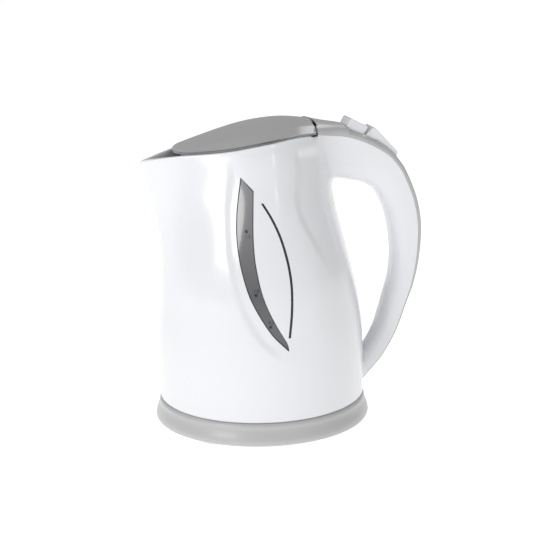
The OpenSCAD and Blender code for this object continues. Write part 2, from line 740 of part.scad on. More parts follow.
// Wire wound into an open coil, upright, from z = 0
module coil(r, wire_r, height, turns) {
    sides = 6;
    steps = 12 * turns;
    loft([for (i = [steps:-1:0]) let (a = 30 * i, z = wire_r + (height - 2 * wire_r) * i / steps)
        [for (j = [0:sides - 1]) let (b = 360 * j / sides)
            [(r + wire_r * cos(b)) * cos(a), (r + wire_r * cos(b)) * sin(a), z + wire_r * sin(b)]]]);
}

module lid_spring() {
    color(steel) translate([seam_x - 9, 0, bracket_z + bracket_t])
        coil(2, 0.35, rim_z(seam_x - 9) - liner_depth - bracket_z - bracket_t - 0.3, 5);
}

lever_top = lever_z + 2.4;
spring_z = lever_z - 7 - button_travel;   // drawn as long as when the button is pressed
module button_spring() {
    color(steel) translate([button_x + 8, 0, spring_z]) coil(2.4, 0.35, lever_z - button_travel - 0.3 - spring_z, 3);
}

module lid_button() {
    stem_low = lever_top + 0.3;
    color(white) button_place() difference() {
        intersection() {
            side_extrude(button_side, key_half_w);
            rounded_box([0, -key_half_w, -20], [16.4, key_half_w, 20], 2);
        }
        difference() {
            translate([1.6, -key_half_w + 1.6, -20]) cube([10, 2 * key_half_w - 3.2, 21]);
            translate([6, -2, stem_low - key_z]) cube([4, 4, 20]);
        }
        translate([-1, -lever_half - 0.8, -20]) cube([4, 2 * lever_half + 1.6, 21.4 + lever_top - key_z]);
    }
}

module power_switch() {
    color(white) switch_place() difference() {
        union() {
            intersection() {
                side_extrude(switch_side, key_half_w);
                rounded_box([-19, -key_half_w, -5], [9.8, key_half_w, 20], 2);
            }
            translate([switch_pivot[0], 0, switch_pivot[1]]) rotate([90, 0, 0])
                cylinder(r = 3, h = 2 * key_half_w - 4, center = true);
        }
        translate([-16.5, -key_half_w + 1.6, -6]) cube([9, 2 * key_half_w - 3.2, 11]);
        translate([0, -key_half_w + 1.6, -6]) cube([8, 2 * key_half_w - 3.2, 9.5]);
        translate([switch_pivot[0], 0, switch_pivot[1]]) rotate([90, 0, 0])
            cylinder(r = switch_pin_r + pin_gap, h = 30, center = true);
    }
}

switch_pin_r = 1;
module switch_pin() {
    color(steel) switch_place() translate([switch_pivot[0], 0, switch_pivot[1]]) rotate([90, 0, 0])
        cylinder(r = switch_pin_r, h = 2 * key_half_w + 0.8, center = true);
}

module steam_switch() {
    color(black) switch_place() difference() {
        translate([-13, -8, -17]) cube([24, 16, 9]);
        translate([5, 0, -18]) cylinder(r = 6.2, h = 3);
    }
}

module steam_disc() {
    color(brass) switch_place() translate([5, 0, -16.8]) cylinder(r = 5.8, h = 0.6);
}

// Two insulated wires from the steam switch down the grip to the hole in the jug's wall
module handle_wires() {
    wire_r = 1;
    sides = 8;
    start = switch_s + 229 / jug_h;    // the same way past the switch at any height
    stations = [for (i = [0:24]) start + (14 - start) * i / 24];
    color(black) for (y = [-2.2, 2.2])
        loft([for (s = stations) let (mid = -path_at(s, 6) * 0.45)
            [for (j = [0:sides - 1]) let (b = 360 * j / sides)
                on_path(s, y + wire_r * cos(b), mid + wire_r * sin(b))]]);
}

base_housing();
base_bottom_cover();
base_feet();
base_screws();
cord_grommet();
terminal_block();
connector_tower();
tower_contacts();
jug_body();
handle_grip();
handle_cover();
water_window_left();
water_window_right();
accent_strip_left();
accent_strip_right();
heating_plate();
plate_seal();
heating_element();
control_unit();
contact_blades();
bimetal_discs();
jug_bottom_cover();
bottom_screws();
filter_frame();
filter_mesh();
hinge_bracket();
hinge_pin();
lid_spring();
latch_pin();
button_spring();
steam_switch();
steam_disc();
handle_wires();
switch_pin();
lid_cover();
lid_liner();
lid_hinge_arm();
lid_button();
lid_latch();
power_switch();
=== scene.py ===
# %% [markdown]
# # A cordless jug kettle
# The kettle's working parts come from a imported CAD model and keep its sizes. This lesson gives it
# its looks: smoother outer shells made from the same formulas as the CAD form, finishes, light and
# a camera. Lengths are written in millimetres and turned into metres when a mesh is finished.

# %% Load the frame
import json
import math
import bpy
import bmesh
from mathutils import Matrix, Vector
from mathutils.kdtree import KDTree


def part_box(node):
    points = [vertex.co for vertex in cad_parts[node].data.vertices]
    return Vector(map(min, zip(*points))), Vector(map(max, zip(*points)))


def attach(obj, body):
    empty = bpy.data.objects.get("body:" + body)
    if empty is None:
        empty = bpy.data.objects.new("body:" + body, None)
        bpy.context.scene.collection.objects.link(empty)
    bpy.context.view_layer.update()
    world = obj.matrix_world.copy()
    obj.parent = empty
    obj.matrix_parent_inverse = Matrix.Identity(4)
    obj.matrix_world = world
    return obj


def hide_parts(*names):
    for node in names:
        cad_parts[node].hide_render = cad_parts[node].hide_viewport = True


MM = 0.001
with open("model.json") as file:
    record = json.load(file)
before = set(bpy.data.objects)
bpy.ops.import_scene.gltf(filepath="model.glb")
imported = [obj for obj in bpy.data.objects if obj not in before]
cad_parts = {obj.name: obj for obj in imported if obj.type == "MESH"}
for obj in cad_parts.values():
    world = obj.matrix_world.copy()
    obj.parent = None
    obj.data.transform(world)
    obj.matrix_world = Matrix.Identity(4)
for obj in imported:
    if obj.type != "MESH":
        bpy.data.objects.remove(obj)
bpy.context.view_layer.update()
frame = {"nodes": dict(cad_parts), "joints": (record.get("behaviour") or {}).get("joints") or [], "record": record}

# %% [markdown]
# ## Sizes from the frame
# Each new shell has to sit exactly where its CAD node is. So the driving sizes are read from the
# boxes of the nodes, and only shape ratios are written here.

# %% Read the sizes


def span(node):
    """Lowest and highest corner of a CAD node, in millimetres."""
    low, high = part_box(node)
    return low / MM, high / MM


def smooth(rows, s, column=1):
    """Smooth curve through one column of rows that start with rising values of s."""
    last = len(rows) - 1

    def slope(i):
        a, b = rows[max(i - 1, 0)], rows[min(i + 1, last)]
        return (b[column] - a[column]) / (b[0] - a[0])

    i = max([0] + [k for k in range(last) if s >= rows[k][0]])
    a, b = rows[i], rows[i + 1]
    h = b[0] - a[0]
    t = min(max((s - a[0]) / h, 0), 1)
    return ((2 * t**3 - 3 * t**2 + 1) * a[column] + (t**3 - 2 * t**2 + t) * h * slope(i)
            + (3 * t**2 - 2 * t**3) * b[column] + (t**3 - t**2) * h * slope(i + 1))


def ramp(low, high, s):
    """Even rise from 0 to 1 between two values."""
    t = min(max((s - low) / (high - low), 0), 1)
    return t * t * (3 - 2 * t)


RIM = [[-1.14, 0.929], [-0.81, 0.952], [-0.4, 0.972], [-0.07, 0.996], [0.27, 1.012],
       [0.51, 1.005], [0.72, 0.99]]
low, high = span("jug_body")
JUG_R, JUG_Z = high.x, low.z
SPOUT = -low.x - JUG_R
REAR_RIM = JUG_R - 20.5
RIM_SAMPLES = [low.x + (REAR_RIM - low.x) * i / 400 for i in range(401)]
JUG_H = (high.z - low.z) / max(smooth(RIM, x / JUG_R) for x in RIM_SAMPLES)
WALL = 2.6
RIM_HALF = 42.5
print("jug radius", round(JUG_R, 2), "foot", round(JUG_Z, 2), "height", round(JUG_H, 2),
      "spout", round(SPOUT, 2))

# %% [markdown]
# ## One helper for smooth shells
# Most of the kettle's shells are skins over a family of rings. A flat grid has the right network of
# faces already, so the helper makes one with create_grid, moves each corner to its place on the
# shell by a formula, merges the seam where the grid meets itself, and closes the open ends.

# %% Skin helper
MERGE = 1e-4


def skin(point, around, along):
    """Grid bent into a closed shell: point(u, v) is a place for u round and v along, 0 to 1."""
    bm = bmesh.new()
    bmesh.ops.create_grid(bm, x_segments=around, y_segments=along, size=0.5)
    for v in bm.verts:
        v.co = point(v.co.x + 0.5, v.co.y + 0.5)
    bmesh.ops.remove_doubles(bm, verts=bm.verts, dist=MERGE)
    rim = [e for e in bm.edges if e.is_boundary]
    if rim:
        bmesh.ops.holes_fill(bm, edges=rim, sides=0)
    bmesh.ops.recalc_face_normals(bm, faces=bm.faces)
    return bm


def finished(bm, name, sharp=35):
    """Object made from a bmesh in millimetres, smooth except over edges sharper than the angle."""
    bmesh.ops.scale(bm, vec=(MM, MM, MM), verts=bm.verts)
    for f in bm.faces:
        f.smooth = True
    for e in bm.edges:
        if len(e.link_faces) == 2 and e.calc_face_angle(0) > math.radians(sharp):
            e.smooth = False
    mesh = bpy.data.meshes.new(name)
    bm.to_mesh(mesh)
    bm.free()
    obj = bpy.data.objects.new(name, mesh)
    bpy.context.collection.objects.link(obj)
    return obj


NO_CHANGE = 1e-11  # cubic metres


def volume(mesh):
    """Volume of a closed mesh, in cubic metres. An open one is refused."""
    bm = bmesh.new()
    bm.from_mesh(mesh)
    torn = sum(not e.is_manifold for e in bm.edges)
    if torn:
        raise ValueError(f"{mesh.name} has {torn} edges that aren't shared by two faces")
    amount = bm.calc_volume()
    bm.free()
    return amount


def boolean(obj, cutter, operation="DIFFERENCE"):
    """Applies one boolean and removes the cutter. The solver skips open meshes without a word, so
    both are tested first, and a step that changes nothing is an error."""
    volume(cutter.data)
    modifier = obj.modifiers.new("boolean", "BOOLEAN")
    modifier.operation, modifier.object, modifier.solver = operation, cutter, "MANIFOLD"
    before = volume(obj.data)
    shown = bpy.context.evaluated_depsgraph_get()
    mesh = bpy.data.meshes.new_from_object(obj.evaluated_get(shown), depsgraph=shown)
    obj.modifiers.clear()
    if abs(volume(mesh) - before) < NO_CHANGE:
        raise ValueError(f"{operation} of {cutter.name} left {obj.name} as it was")
    obj.data = mesh
    bpy.data.objects.remove(cutter)
    return obj


print("corners of a skin merge within", MERGE, "mm")

# %% [markdown]
# ## Shader maths
# A finish is a few noises that nudge colour, gloss and surface. Written as sums and products they
# are easy to read, so one small class wraps a socket and turns + - * into Math nodes.

# %% Field class


class Field:
    """A value that varies over a surface."""

    def __init__(self, tree, socket=None):
        self.tree, self.socket = tree, socket

    def node(self, kind, settings, values, out=0):
        """Any node: its settings first, then the values or links of its sockets."""
        made = self.tree.nodes.new(kind)
        for key, value in settings.items():
            setattr(made, key, value)
        for key, value in values.items():
            if isinstance(value, Field):
                self.tree.links.new(value.socket, made.inputs[key])
            else:
                made.inputs[key].default_value = value
        return Field(self.tree, made.outputs[out])

    def math(self, operation, a, b):
        return self.node("ShaderNodeMath", {"operation": operation}, {0: a, 1: b})

    def __add__(self, other):
        return self.math("ADD", self, other)

    __radd__ = __add__

    def __mul__(self, other):
        return self.math("MULTIPLY", self, other)

    __rmul__ = __mul__

    def __sub__(self, other):
        return self.math("SUBTRACT", self, other)

    def __rsub__(self, other):
        return self.math("SUBTRACT", other, self)


# %% [markdown]
# ## Finishes
# Moulded plastic is never one flat colour: it drifts a little, its gloss is uneven, its surface has
# a fine grain, and its outer edges are polished by handling. One recipe with different numbers
# gives all the plastics and metals of the kettle.

# %% Finish recipe
TINTS = {}
OBJECT_PLACE, POINTINESS = 3, 7  # outputs of Texture Coordinate and Geometry
MIX_A, MIX_B, MIX_RESULT = 6, 7, 2  # colour sockets of a Mix node
DRIFT_SIZE, GRAIN_HEIGHT = 22.0, 0.0004
EDGE_FROM, EDGE_TO = 0.51, 0.6
COAT_ROUGH = 0.06


def finish(name, colour, rough, metallic=0.0, coat=0.0, drift=0.04, grain=0.02, grain_size=900,
           wear=0.06, stretch=(1, 1, 1)):
    """Material with drifting colour and gloss, a fine grain and edges polished by use."""
    material = bpy.data.materials.new(name)
    material.use_nodes = True
    tree = material.node_tree
    shader = tree.nodes["Principled BSDF"]
    start = Field(tree)
    place = start.node("ShaderNodeTexCoord", {}, {}, out=OBJECT_PLACE)
    place = start.node("ShaderNodeMapping", {}, {"Vector": place, "Scale": stretch})
    slow = start.node("ShaderNodeTexNoise", {},
                      {"Vector": place, "Scale": DRIFT_SIZE, "Detail": 3.0})
    fine = start.node("ShaderNodeTexNoise", {},
                      {"Vector": place, "Scale": float(grain_size), "Detail": 2.0})
    sharp = start.node("ShaderNodeNewGeometry", {}, {}, out=POINTINESS)
    edge = start.node("ShaderNodeMapRange", {},
                      {"Value": sharp, "From Min": EDGE_FROM, "From Max": EDGE_TO, "To Min": 0.0,
                       "To Max": 1.0})
    dark = [c * (1 - drift) for c in colour] + [1]
    light = [min(c * (1 + drift * 0.5), 1) for c in colour] + [1]
    tint = start.node("ShaderNodeMix", {"data_type": "RGBA"}, {0: slow, MIX_A: dark, MIX_B: light},
                      out=MIX_RESULT)
    tree.links.new(tint.socket, shader.inputs["Base Color"])
    gloss = (slow * 0.08 - 0.04) + (fine * 0.03 - 0.015) + rough - edge * wear
    tree.links.new(gloss.socket, shader.inputs["Roughness"])
    bump = start.node("ShaderNodeBump", {},
                      {"Strength": grain, "Distance": GRAIN_HEIGHT, "Height": fine})
    tree.links.new(bump.socket, shader.inputs["Normal"])
    shader.inputs["Metallic"].default_value = metallic
    shader.inputs["Coat Weight"].default_value = coat
    shader.inputs["Coat Roughness"].default_value = COAT_ROUGH
    TINTS[name] = material
    return material


finish("white_shell", (0.81, 0.815, 0.84), 0.22, coat=0.22, drift=0.015, grain=0.015)
finish("grey_shell", (0.51, 0.51, 0.515), 0.36, coat=0.12, drift=0.04, grain=0.08)
finish("lid_grey", (0.46, 0.46, 0.465), 0.3, coat=0.2, drift=0.04, grain=0.06)
finish("smoke_window", (0.13, 0.13, 0.14), 0.14, coat=0.6, drift=0.1, grain=0.01)
finish("black_plastic", (0.022, 0.022, 0.024), 0.42, drift=0.2, grain=0.12)
finish("rubber_feet", (0.05, 0.05, 0.05), 0.75, drift=0.2, grain=0.3, grain_size=500, wear=0.12)
finish("silicone", (0.6, 0.6, 0.6), 0.55, drift=0.05, grain=0.06)
finish("steel", (0.62, 0.62, 0.63), 0.3, metallic=1.0, drift=0.08, grain=0.12, grain_size=260,
       stretch=(1, 1, 8))
finish("brass", (0.72, 0.5, 0.2), 0.3, metallic=1.0, drift=0.12, grain=0.08, grain_size=400)
print("finishes", sorted(TINTS))

# %% [markdown]
# ## Smoked window
# The window looks lighter towards its top, where there is no water behind it. That lighter top is painted
# light: its colour is mixed from two greys by height, which is simpler than real glass with something behind it.

# %% Window colour by height, with painted light at the top
PALE_FROM, PALE_TO = 0.1, 0.19  # metres above the table
# The first grey is the smoke's own deep tint; the second is painted light for the window's upper part
DEEP_SMOKE, SMOKE_WITH_PAINTED_LIGHT = (0.1, 0.1, 0.108, 1), (0.26, 0.26, 0.265, 1)
smoke = TINTS["smoke_window"].node_tree
upward = Field(smoke)
height = upward.node("ShaderNodeSeparateXYZ", {},
                     {0: upward.node("ShaderNodeTexCoord", {}, {}, out=OBJECT_PLACE)}, out=2)
paler = upward.node("ShaderNodeMapRange", {},
                    {"Value": height, "From Min": PALE_FROM, "From Max": PALE_TO, "To Min": 0.0,
                     "To Max": 1.0})
# Mixing by height paints light on to the upper part of the glass
glass_and_painted_light = upward.node("ShaderNodeMix", {"data_type": "RGBA"},
                         {0: paler, MIX_A: DEEP_SMOKE, MIX_B: SMOKE_WITH_PAINTED_LIGHT}, out=MIX_RESULT)
smoke.links.new(glass_and_painted_light.socket, smoke.nodes["Principled BSDF"].inputs["Base Color"])
print("window paler from", PALE_FROM, "to", PALE_TO, "m")

# %% [markdown]
# ## Finish on the CAD nodes
# A node that stays as it is only gets its finish. Its slot is in the record, so no list of nodes
# is needed here.

# %% Dress the nodes
for part in frame["record"]["subparts"]:
    node = frame["nodes"][part["node"]]
    node.data.materials.clear()
    node.data.materials.append(TINTS[part["material_slot"]])

# %% [markdown]
# ## The form of the jug
# The jug is round at its foot and becomes a pointed beak at the rim. Three curves give its reach in
# front, behind and to the side at each level, and one exponent turns the round section into the
# beak. Every piece that touches the jug's face asks the same functions, so all of them line up.

# %% Jug form
FRONT = [[0, JUG_R], [0.25, JUG_R + 0.3], [0.4, JUG_R - 1.8], [0.57, JUG_R - 3], [0.74, JUG_R - 1],
         [0.85, JUG_R + 3], [1, JUG_R + SPOUT]]
REAR = [[0, JUG_R], [0.25, JUG_R - 0.3], [0.4, JUG_R - 3.7], [0.57, JUG_R - 11],
        [0.74, JUG_R - 18.5], [0.85, JUG_R - 20.5], [1, REAR_RIM]]
SIDE = [[0, JUG_R], [0.25, JUG_R - 0.5], [0.4, JUG_R - 2.9], [0.57, JUG_R - 7.5],
        [0.74, JUG_R - 15], [0.9, RIM_HALF + 7], [1, RIM_HALF]]
# Shallow leaf round the window, and the flank behind it: height above the table, then x
LEAF = [[53, 16.7], [58.5, 4.6], [73, -13.8], [94, -26.4], [115, -32.2], [142, -34.4],
        [164, -33], [188, -28.6]]
FLANK = [[111, 42], [128.5, 32.2], [139.6, 26.1], [160, 16.5], [174, 14.8], [189, 18.2],
         [209.5, 17.3]]
LEAF_DEPTH, FLANK_DEPTH = 1.1, 2.1


def rim_z(x):
    return JUG_Z + JUG_H * smooth(RIM, x / JUG_R)


def level_z(level, x):
    return JUG_Z + level * (rim_z(x) - JUG_Z)


def recess(x, z):
    """How far the side of the jug is set back at x and z."""
    leaf = ramp(-1.3, 1.3, x - smooth(LEAF, z)) * ramp(56, 80, z) * ramp(200, 178, z)
    flank = ramp(-2.5, 2.5, x - smooth(FLANK, z)) * ramp(108, 150, z)
    return LEAF_DEPTH * leaf * (1 - ramp(5, 30, x)) + FLANK_DEPTH * flank * ramp(206, 196, z)


def jug_point(turn, level, inset=0.0):
    """Place on the jug's face at a turn round it in radians, under the face by inset."""
    beak = ramp(0.45, 1, level)
    c, s = math.cos(turn), math.sin(turn)
    if c < 0:
        reach, power, swell = -smooth(FRONT, level) + inset * (1 + 0.7 * beak), 0.5, 1
    else:
        reach, power, swell = smooth(REAR, level) - inset, 0.4, 0.2
    x = reach * abs(c) ** (2 / (2 - power * beak))
    y = (smooth(SIDE, level) - inset) * abs(s) ** (1 + swell * beak) * math.copysign(1, s)
    z = level_z(level, x)
    if inset < WALL / 2:
        y -= math.copysign(recess(x, z) * ramp(8, 26, abs(y)), y)
    return Vector((x, y, z))


def half_width(x, level):
    """Half width of the jug at x."""
    beak, side = ramp(0.45, 1, level), smooth(SIDE, level)
    if x < 0:
        s = min(-x / smooth(FRONT, level), 1)
        return side * (1 - s ** (2 - 0.5 * beak)) ** (0.5 + 0.5 * beak)
    s = min(x / smooth(REAR, level), 1)
    return side * (1 - s ** (2 - 0.4 * beak)) ** (0.5 + 0.1 * beak)


def face_y(x, z):
    """Half width of the jug's face at x and z, with its recesses."""
    return half_width(x, (z - JUG_Z) / (rim_z(x) - JUG_Z)) - recess(x, z)


print("rim from", round(rim_z(-JUG_R - SPOUT), 1), "to", round(rim_z(REAR_RIM), 1))

# %% [markdown]
# ## The handle's path
# The handle is one long sweep: a curve down the back, where each station has a tilt, a half width,
# a rise for the grey strip outside it and a depth for the white grip inside it. A rounded half ring
# at each station gives either half of the handle.

# %% Handle path
GRIP_HALF, GRIP_REACH, GRIP_DEPTH = 13.5, 42.5, 18.8
SEAM = REAR_RIM - 16.5
LID_RISE, SKIN, GAP = 8.6, 2.0, 0.4
COVER_FALL = 0.3  # fall of the raised cover for each station
PATH = [[0, SEAM - JUG_R + 0.3, 1.006, 0, 26.5, 6, 12], [1, -30.5, 0.999, 2, 21, 6, 20],
        [2, -22.5, 0.992, 5, 17, 6, 34], [3, -12.5, 0.983, 12, GRIP_HALF + 1.5, 5.8, 33],
        [4, 1.5, 0.958, 24, GRIP_HALF + 1, 5.5, 31],
        [5, GRIP_REACH - 25, 0.911, 36, GRIP_HALF + 0.5, 5, 27],
        [6, GRIP_REACH - 16, 0.864, 50, GRIP_HALF, 4.6, GRIP_DEPTH + 6],
        [7, GRIP_REACH - 10, 0.812, 61, GRIP_HALF, 4.6, GRIP_DEPTH + 3.4],
        [8, GRIP_REACH - 3, 0.717, 74, GRIP_HALF, 4.6, GRIP_DEPTH + 1.6],
        [9, GRIP_REACH, 0.618, 87, GRIP_HALF, 4.6, GRIP_DEPTH],
        [10, GRIP_REACH - 1, 0.503, 96, GRIP_HALF, 4.2, GRIP_DEPTH - 3],
        [11, GRIP_REACH - 4.6, 0.4, 104, GRIP_HALF, 3.5, GRIP_DEPTH - 4.8],
        [12, GRIP_REACH - 10, 0.314, 109, GRIP_HALF - 0.5, 2.6, GRIP_DEPTH - 5.6],
        [13, GRIP_REACH - 14.8, 0.241, 114, GRIP_HALF - 1, 2.3, GRIP_DEPTH - 6],
        [14, GRIP_REACH - 20, 0.178, 119, GRIP_HALF - 1.5, 2, GRIP_DEPTH - 6.5],
        [15, GRIP_REACH - 29, 0.1, 127, GRIP_HALF - 2.5, 1.6, GRIP_DEPTH - 6.5],
        [16, GRIP_REACH - 42.5, 0.02, 136, GRIP_HALF - 4, 1.2, GRIP_DEPTH - 8]]
STEP_AT, STEP_RUN = 3.15, 0.04  # where the raised cover steps down to the strip


def on_path(s, y, q):
    """Place at station s, y to the side and q outward from the border of white and grey."""
    tilt = math.radians(smooth(PATH, s, 3))
    return Vector((JUG_R + smooth(PATH, s, 1) + q * math.sin(tilt), y,
                   JUG_Z + JUG_H * smooth(PATH, s, 2) + q * math.cos(tilt)))


print("handle path of", len(PATH), "stations, grip", GRIP_DEPTH, "deep")

# %% [markdown]
# ## Two halves of the handle
# The white grip and the grey cover meet at a border that both follow. Each could be a curve with a
# bevel profile, but the two halves differ in depth at every station, so each is a skin over half
# rings that start and end on the border.

# %% Halves of the handle
SQUARE = 0.7  # power that gives a half ring its full shoulders
OVER = 0.8  # share of a half ring that goes over the swollen side


def half_ring(s, half, q, sill, u):
    """Place on a half ring: u up to OVER goes over the swollen side, the rest along the sill."""
    way = 1 if q > 0 else -1
    if u <= OVER:
        turn = math.pi * u / OVER
        c, height = math.cos(turn), q * max(math.sin(turn), 0) ** SQUARE
        if u in (0, OVER):
            height = sill
        return on_path(s, way * half * math.copysign(abs(c) ** SQUARE, c), height)
    return on_path(s, way * half * ((u - OVER) / 0.1 - 1), sill)


SUNK, SUNK_TO = 0.8, 2.2  # the grip starts narrower, so that it rises out of the jug's side


def grip(start, end, inset=0.0, sill=0.0):
    def point(u, v):
        s = start + (end - start) * v
        half = smooth(PATH, s, 4) - inset - SUNK * ramp(SUNK_TO, 0, s)
        return half_ring(s, half, -(smooth(PATH, s, 6) - inset), sill, round(u, 6))
    return finished(skin(point, 60, 150), "grip")


def cover(start, end, inset=0.0, sill=0.0):
    edge = STEP_AT - 0.1 * inset
    rings, raised = 140, 30

    def point(u, v):
        k = round(v * rings)
        if k <= raised:
            s = start + (edge - start) * k / raised
            rise = LID_RISE - COVER_FALL * s
        else:
            s = edge + STEP_RUN + (end - edge - STEP_RUN) * (k - raised - 1) / (rings - raised - 1)
            rise = smooth(PATH, s, 5)
        return half_ring(s, smooth(PATH, s, 4) - inset, rise - inset, sill, round(u, 6))
    return finished(skin(point, 50, rings), "cover")


print("grip sunk by", SUNK, "mm where it starts")

# %% [markdown]
# ## Cutters and placing
# Windows and key openings are cut with plain shapes: a flat outline pushed sideways, and a box. The
# last helper gives a finished piece its material and says which body it rides on.

# %% Cutters and placing


def prism(flat, near, far):
    """Flat outline in x and z pushed along y from near to far."""
    bm = bmesh.new()
    face = bm.faces.new([bm.verts.new((x, near, z)) for x, z in flat])
    made = bmesh.ops.extrude_face_region(bm, geom=[face])["geom"]
    bmesh.ops.translate(bm, vec=(0, far - near, 0),
                        verts=[g for g in made if isinstance(g, bmesh.types.BMVert)])
    bmesh.ops.recalc_face_normals(bm, faces=bm.faces)
    return finished(bm, "prism")


def block(low, high, place=None):
    """Box between two corners, moved by a matrix when one is given."""
    bm = bmesh.new()
    bmesh.ops.create_cube(bm, size=1)
    size, centre = Vector(high) - Vector(low), (Vector(high) + Vector(low)) / 2
    bmesh.ops.scale(bm, vec=size, verts=bm.verts)
    bmesh.ops.translate(bm, vec=centre, verts=bm.verts)
    if place:
        bmesh.ops.transform(bm, matrix=place, verts=bm.verts)
    return finished(bm, "block")


def placed(obj, body, slot, *nodes):
    """Gives a new piece its finish, its body and the CAD nodes it stands for."""
    obj.data.materials.clear()
    obj.data.materials.append(TINTS[slot])
    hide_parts(*nodes)
    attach(obj, body)
    print(obj.name, len(obj.data.polygons), "faces for", ", ".join(nodes))


print("cutters: prism and block")

# %% [markdown]
# ## Window and accent outlines
# Both are long curved slits on the jug's side. An outline in side view cuts the shell, and the same
# outline, pressed on to the jug's face, is the panel that fills it.

# %% Window outlines
WINDOW_EDGE = [[51, 1.4], [62, -9], [76, -17.5], [91, -24], [111, -28], [129, -28.7], [146, -27],
               [169, -22.4]]
WINDOW_SHARE = [[51, 0.04], [56, 0.45], [62, 0.67], [78, 0.82], [94, 0.94], [111, 1.01],
                [129, 1.07], [146, 1.05], [169, 0.85]]
ACCENT = [[60, 2.6], [76, 4.8], [91, 5.7], [102, 5.3], [114, 3.6], [128, 0.3], [141, -4.6],
          [152, -10.3]]
WINDOW_W, WINDOW_LOW, WINDOW_TOP, WINDOW_SLOPE, ACCENT_W = 10, 51, 169, 9, 1.6
SCALE = JUG_H / 191
CLEAR = 0.1
OUTLINE_STEPS = 40


def window_place(u, v, grow=0.0):
    """x and z in the window for u across and v up, its top sloping down to the rear."""
    h = WINDOW_LOW + (WINDOW_TOP - WINDOW_SLOPE * u * ramp(0.8, 1, v) - WINDOW_LOW) * v
    w = WINDOW_W * smooth(WINDOW_SHARE, h)
    x = smooth(WINDOW_EDGE, h) + w * u + grow * (2 * u - 1)
    z = JUG_Z + h * SCALE + grow * (2 * v - 1)
    return x, z


def accent_place(u, v, grow=0.0):
    h = ACCENT[0][0] + (ACCENT[-1][0] - ACCENT[0][0]) * v
    return (smooth(ACCENT, h) + (u - 0.5) * (ACCENT_W + 2 * grow),
            JUG_Z + h * SCALE + grow * (2 * v - 1))


def outline(place, grow):
    """Outline in x and z, up the front edge and down the rear one."""
    return [place(0, i / OUTLINE_STEPS, grow) for i in range(OUTLINE_STEPS + 1)] + [
        place(1, i / OUTLINE_STEPS, grow) for i in range(OUTLINE_STEPS, -1, -1)]


def panel(place, side, depth, thick, name, across=10, up=60):
    """Panel that follows the jug's face, set back by depth."""
    bm = bmesh.new()
    bmesh.ops.create_grid(bm, x_segments=across, y_segments=up, size=0.5)
    for v in bm.verts:
        x, z = place(v.co.x + 0.5, v.co.y + 0.5)
        v.co = (x, side * (face_y(x, z) - depth), z)
    faces = bm.faces[:]
    made = bmesh.ops.extrude_face_region(bm, geom=faces)["geom"]
    bmesh.ops.translate(bm, vec=(0, -side * thick, 0),
                        verts=[g for g in made if isinstance(g, bmesh.types.BMVert)])
    bmesh.ops.recalc_face_normals(bm, faces=bm.faces)
    return finished(bm, name)


print("window from", WINDOW_LOW, "to", WINDOW_TOP, "mm above the jug's foot")

# %% [markdown]
# ## White shell
# The jug and the inner half of its handle are one moulding on the real kettle. The jug is a skin
# that runs up outside, over a rounded lip and down inside, which keeps its wall the same
# everywhere.

# %% White shell
LIP_STEPS, LEVELS, AROUND = 6, 110, 220
LIP_FROM = 0.96  # level from which the wall's top makes room for the rounded lip
CAVITY_REACH = 1.1  # the cavity's cutter goes on past the rim


def jug_stations():
    """Level, inset and drop, up the outside, over the lip and down the inside."""
    lip = WALL / 2
    levels = [i / LEVELS for i in range(LEVELS + 1)]
    rows = [(k, 0.0, -lip * ramp(LIP_FROM, 1, k) + 0.8 * ramp(0.01, 0, k)) for k in levels]
    for i in range(1, LIP_STEPS):
        t = math.pi * i / LIP_STEPS
        rows.append((1.0, lip * (1 - math.cos(t)), lip * (math.sin(t) - 1)))
    rows += [(k, WALL, -lip * ramp(LIP_FROM, 1, k)) for k in reversed(levels)]
    rows.append((0.0, 0.6, 0.0))
    rows.append(rows[0])
    return rows


ROWS = jug_stations()


def jug_skin_point(u, v):
    level, inset, drop = ROWS[round(v * (len(ROWS) - 1))]
    p = jug_point(2 * math.pi * u, level, inset)
    return Vector((p.x, p.y, p.z + drop))


def cavity_point(u, v):
    level = min(v * CAVITY_REACH, 1)
    p = jug_point(2 * math.pi * u, level, WALL * 0.8)
    return Vector((p.x, p.y, p.z + max(v * CAVITY_REACH - 1, 0) * 400 - (2 if v == 0 else 0)))


print(len(ROWS), "rings of", AROUND, "corners")

# %% [markdown]
# ## Joining and cutting the shell
# The grip is hollow, and the cavity of the jug is taken out of it first, so that nothing of the
# handle stands inside the water. Then the two are joined, and the windows, the grooves of the
# accent strips and the opening for the lid's lever are cut.

# %% Join and cut
white = finished(skin(jug_skin_point, AROUND, len(ROWS) - 1), "jug_shell")
handle = boolean(grip(0, 16), grip(1.2, 14.4, WALL, 1))
handle = boolean(handle, finished(skin(cavity_point, 160, 110), "cavity"))
white = boolean(white, handle, "UNION")
for side in (-1, 1):
    white = boolean(white, prism(outline(window_place, CLEAR), side * 20, side * 120))
    groove = panel(lambda u, v: accent_place(u, v, CLEAR), side, 1.3, -6, "groove", 4, 60)
    white = boolean(white, groove)
lever_floor = JUG_Z + 0.93 * JUG_H
white = boolean(white, block((REAR_RIM - 12, -6, lever_floor), (REAR_RIM + 8, 6, lever_floor + 40)))

print("joined shell", len(white.data.polygons), "faces")

# %% [markdown]
# ## Fillet between grip and jug
# The moulding has a soft fillet where the grip leaves the jug. A bevel needs clean edge loops,
# which a boolean doesn't leave, so the corners near the valley are relaxed instead.

# %% Fillet
bm = bmesh.new()
bm.from_mesh(white.data)
bpy.data.objects.remove(white)
bmesh.ops.scale(bm, vec=(1 / MM,) * 3, verts=bm.verts)
bmesh.ops.remove_doubles(bm, verts=bm.verts, dist=0.002)
VALLEY_ANGLE, BORDER_ANGLE = -0.35, 0.6  # radians, hollow and proud
BEHIND, VALLEY_SHARE = 30, 0.765


def in_valley(edge):
    """Is this a sharp hollow edge on the outside, where the grip meets the back of the jug?"""
    if not edge.is_manifold or edge.calc_face_angle_signed(0) >= VALLEY_ANGLE:
        return False
    x, y, z = edge.verts[0].co
    return (x > BEHIND and abs(y) > 2 and z < rim_z(x) - 2
            and x > VALLEY_SHARE * smooth(REAR, (z - JUG_Z) / JUG_H))


